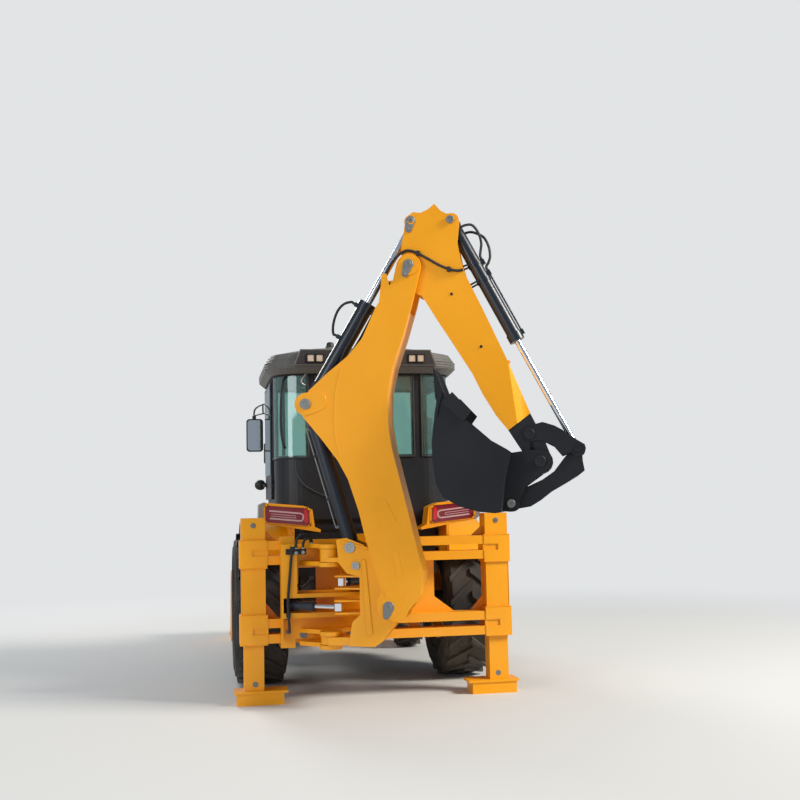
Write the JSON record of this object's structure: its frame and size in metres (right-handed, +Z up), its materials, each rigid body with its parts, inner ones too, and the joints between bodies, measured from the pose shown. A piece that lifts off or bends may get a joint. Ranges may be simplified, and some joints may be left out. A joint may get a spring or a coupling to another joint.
{
  "type": "backhoe loader",
  "caption": "Four-wheel backhoe loader: front bucket on lifting arms, glazed cab, and a side-shifting rear hoe folded high behind, swung to the right, with its pads on the ground.",
  "frame": {"origin": "on the ground under the middle of the whole machine's bounding box as parked", "axes": "+Y forward, towards the loader bucket; +X to the machine's right; +Z up"},
  "size_m": [2.785, 6.3801, 4.074],
  "materials": {
    "yellow_paint": "glossy",
    "black_paint": "satin",
    "grey_paint": "satin",
    "cast_engine": "rough",
    "tinted_glass": "clear",
    "roof_plastic": "matte",
    "seat_vinyl": "matte",
    "black_plastic": "matte",
    "steel_pipe": "brushed",
    "red_lens": "glossy",
    "chrome_rod": "polished",
    "clear_lens": "glossy",
    "hose_rubber": "matte",
    "tyre_rubber": "matte"
  },
  "bodies": {
    "machine": {"chassis": "grey_paint", "engine": "cast_engine", "rear_axle": "grey_paint", "front_axle": "grey_paint", "rear_frame": "yellow_paint", "fenders": "yellow_paint", "cab_shell": "black_paint", "cab_glass": "tinted_glass", "roof": "roof_plastic", "seat": "seat_vinyl", "controls": "black_plastic", "nose": "black_paint", "side_boxes": "black_paint", "exhaust": "steel_pipe", "mirrors": "black_paint", "lamps": "red_lens", "work_lamps": "clear_lens"},
    "knuckle_left": {"knuckle_left": "grey_paint"},
    "knuckle_right": {"knuckle_right": "grey_paint"},
    "wheel_rear_left": {"rim_rear_left": "yellow_paint", "tyre_rear_left": "tyre_rubber"},
    "wheel_rear_right": {"rim_rear_right": "yellow_paint", "tyre_rear_right": "tyre_rubber"},
    "wheel_front_left": {"rim_front_left": "yellow_paint", "tyre_front_left": "tyre_rubber"},
    "wheel_front_right": {"rim_front_right": "yellow_paint", "tyre_front_right": "tyre_rubber"},
    "door_left": {"door_left": "black_paint", "door_glass_left": "tinted_glass"},
    "door_right": {"door_right": "black_paint", "door_glass_right": "tinted_glass"},
    "bonnet": {"bonnet": "yellow_paint"},
    "loader_arms": {"loader_arms": "yellow_paint", "tilt_barrels": "black_paint"},
    "loader_bucket": {"loader_bucket": "yellow_paint"},
    "lift_barrels": {"lift_barrels": "black_paint"},
    "lift_rods": {"lift_rods": "chrome_rod"},
    "tilt_rods": {"tilt_rods": "chrome_rod"},
    "leg_left": {"leg_left": "yellow_paint"},
    "leg_right": {"leg_right": "yellow_paint"},
    "carriage": {"carriage": "yellow_paint", "swing_rams": "black_paint", "carriage_hoses": "hose_rubber"},
    "swing_rod_left": {"swing_rod_left": "chrome_rod"},
    "swing_rod_right": {"swing_rod_right": "chrome_rod"},
    "swing_post": {"swing_post": "yellow_paint"},
    "boom": {"boom": "yellow_paint", "boom_hoses": "hose_rubber"},
    "boom_barrel": {"boom_barrel": "black_paint"},
    "boom_rod": {"boom_rod": "chrome_rod"},
    "dipper": {"dipper": "yellow_paint", "bucket_barrel": "black_paint", "dipper_hoses": "hose_rubber"},
    "dipper_barrel": {"dipper_barrel": "black_paint", "ram_hose": "hose_rubber"},
    "dipper_rod": {"dipper_rod": "chrome_rod"},
    "hoe_bucket": {"hoe_bucket": "black_paint"},
    "bucket_rod": {"bucket_rod": "chrome_rod"},
    "tipping_links": {"tipping_links": "black_paint"},
    "bucket_link": {"bucket_link": "black_paint"}
  },
  "joints": [
    {"name": "steer_left", "type": "hinge", "parent": "machine", "child": "knuckle_left", "pos_m": [-0.79995, 1.29403, 0.45], "axis": [0, 0, 1], "range_deg": [-35, 35]},
    {"name": "steer_right", "type": "hinge", "parent": "machine", "child": "knuckle_right", "pos_m": [0.42005, 1.29403, 0.45], "axis": [0, 0, 1], "range_deg": [-35, 35]},
    {"name": "spin_front_left", "type": "hinge", "parent": "knuckle_left", "child": "wheel_front_left", "pos_m": [-1.03995, 1.29403, 0.45], "axis": [1, 0, 0], "continuous": true},
    {"name": "spin_front_right", "type": "hinge", "parent": "knuckle_right", "child": "wheel_front_right", "pos_m": [0.66005, 1.29403, 0.45], "axis": [1, 0, 0], "continuous": true},
    {"name": "spin_rear_left", "type": "hinge", "parent": "machine", "child": "wheel_rear_left", "pos_m": [-1.13995, -0.88597, 0.7], "axis": [1, 0, 0], "continuous": true},
    {"name": "spin_rear_right", "type": "hinge", "parent": "machine", "child": "wheel_rear_right", "pos_m": [0.76005, -0.88597, 0.7], "axis": [1, 0, 0], "continuous": true},
    {"name": "door_left_hinge", "type": "hinge", "parent": "machine", "child": "door_left", "pos_m": [-1.01795, -1.08397, 1.82], "axis": [0, 0, 1], "range_deg": [0, 75]},
    {"name": "door_right_hinge", "type": "hinge", "parent": "machine", "child": "door_right", "pos_m": [0.63805, -1.08397, 1.82], "axis": [0, 0, -1], "range_deg": [0, 75]},
    {"name": "bonnet_hinge", "type": "hinge", "parent": "machine", "child": "bonnet", "pos_m": [-0.18995, 0.07903, 1.6], "axis": [1, 0, 0], "range_deg": [0, 55]},
    {"name": "loader_lift", "type": "hinge", "parent": "machine", "child": "loader_arms", "pos_m": [-0.18995, 0.16403, 1.64], "axis": [1, 0, 0], "range_deg": [0, 76]},
    {"name": "lift_barrel_hinge", "type": "hinge", "parent": "machine", "child": "lift_barrels", "pos_m": [-0.18995, 0.01403, 0.68], "axis": [1, 0, 0], "range_deg": [0, 34]},
    {"name": "lift_rod_slide", "type": "slide", "parent": "lift_barrels", "child": "lift_rods", "axis": [0, 0.8283, 0.5603], "range_m": [0, 0.74]},
    {"name": "loader_tip", "type": "hinge", "parent": "loader_arms", "child": "loader_bucket", "pos_m": [-0.18995, 2.20403, 0.3], "axis": [-1, 0, 0], "range_deg": [-15, 105]},
    {"name": "tilt_rod_slide", "type": "slide", "parent": "loader_arms", "child": "tilt_rods", "axis": [0, 0.7353, -0.6777], "range_m": [-0.15, 0.38]},
    {"name": "leg_left_slide", "type": "slide", "parent": "machine", "child": "leg_left", "axis": [0, 0, 1], "range_m": [0, 0.34]},
    {"name": "leg_right_slide", "type": "slide", "parent": "machine", "child": "leg_right", "axis": [0, 0, 1], "range_m": [0, 0.34]},
    {"name": "sideshift", "type": "slide", "parent": "machine", "child": "carriage", "axis": [1, 0, 0], "range_m": [0, 0.88]},
    {"name": "slew", "type": "hinge", "parent": "carriage", "child": "swing_post", "pos_m": [-0.63395, -2.39597, 0.9], "axis": [0, 0, 1], "range_deg": [-161, 19]},
    {"name": "swing_rod_left_slide", "type": "slide", "parent": "carriage", "child": "swing_rod_left", "axis": [0.7515, -0.6597, 0], "range_m": [-0.2, 0.03]},
    {"name": "swing_rod_right_slide", "type": "slide", "parent": "carriage", "child": "swing_rod_right", "axis": [-0.7359, -0.6771, 0], "range_m": [-0.03, 0.18]},
    {"name": "boom_hinge", "type": "hinge", "parent": "swing_post", "child": "boom", "pos_m": [-0.16024, -2.55908, 0.812], "axis": [0.3256, 0.9455, 0], "range_deg": [0, 100]},
    {"name": "boom_barrel_hinge", "type": "hinge", "parent": "swing_post", "child": "boom_barrel", "pos_m": [-0.45619, -2.45718, 1.295], "axis": [0.3256, 0.9455, 0], "range_deg": [0, 116]},
    {"name": "boom_rod_slide", "type": "slide", "parent": "boom_barrel", "child": "boom_rod", "axis": [-0.2647, 0.0911, 0.96], "range_m": [0, 0.84]},
    {"name": "dipper_hinge", "type": "hinge", "parent": "boom", "child": "dipper", "pos_m": [0.04777, -2.63071, 3.562], "axis": [-0.3256, -0.9455, 0], "range_deg": [0, 115]},
    {"name": "dipper_barrel_hinge", "type": "hinge", "parent": "boom", "child": "dipper_barrel", "pos_m": [-0.77767, -2.34649, 2.461], "axis": [-0.3256, -0.9455, 0], "range_deg": [0, 8]},
    {"name": "dipper_rod_slide", "type": "slide", "parent": "dipper_barrel", "child": "dipper_rod", "axis": [0.4896, -0.1686, 0.8555], "range_m": [-0.64, 0]},
    {"name": "bucket_hinge", "type": "hinge", "parent": "dipper", "child": "hoe_bucket", "pos_m": [1.0018, -2.95921, 1.949], "axis": [-0.3256, -0.9455, 0], "range_deg": [0, 125]},
    {"name": "tipping_link_hinge", "type": "hinge", "parent": "dipper", "child": "tipping_links", "pos_m": [0.92616, -2.93316, 2.17], "axis": [-0.3256, -0.9455, 0], "range_deg": [0, 95]},
    {"name": "bucket_link_hinge", "type": "hinge", "parent": "hoe_bucket", "child": "bucket_link", "pos_m": [0.77865, -2.88237, 1.621], "axis": [-0.3256, -0.9455, 0], "range_deg": [-50, 0]},
    {"name": "bucket_rod_slide", "type": "slide", "parent": "dipper", "child": "bucket_rod", "axis": [0.4291, -0.1477, -0.8911], "range_m": [-0.56, 0]}
  ],
  "couplings": [
    {"joint": "steer_right", "follows": "steer_left", "ratio": 1},
    {"joint": "lift_barrel_hinge", "follows": "loader_lift", "ratio": 0.43},
    {"joint": "lift_rod_slide", "follows": "loader_lift", "m_per_rad": 0.54431},
    {"joint": "tilt_rod_slide", "follows": "loader_tip", "m_per_rad": 0.20054},
    {"joint": "swing_rod_left_slide", "follows": "slew", "m_per_rad": 0.06875},
    {"joint": "swing_rod_right_slide", "follows": "slew", "m_per_rad": -0.06016},
    {"joint": "boom_barrel_hinge", "follows": "boom_hinge", "ratio": 1.14},
    {"joint": "boom_rod_slide", "follows": "boom_hinge", "m_per_rad": 0.47555},
    {"joint": "dipper_barrel_hinge", "follows": "dipper_hinge", "ratio": 0.065},
    {"joint": "dipper_rod_slide", "follows": "dipper_hinge", "m_per_rad": -0.31513},
    {"joint": "tipping_link_hinge", "follows": "bucket_hinge", "ratio": 0.67},
    {"joint": "bucket_link_hinge", "follows": "bucket_hinge", "ratio": -0.35},
    {"joint": "bucket_rod_slide", "follows": "bucket_hinge", "m_per_rad": -0.22746}
  ]
}
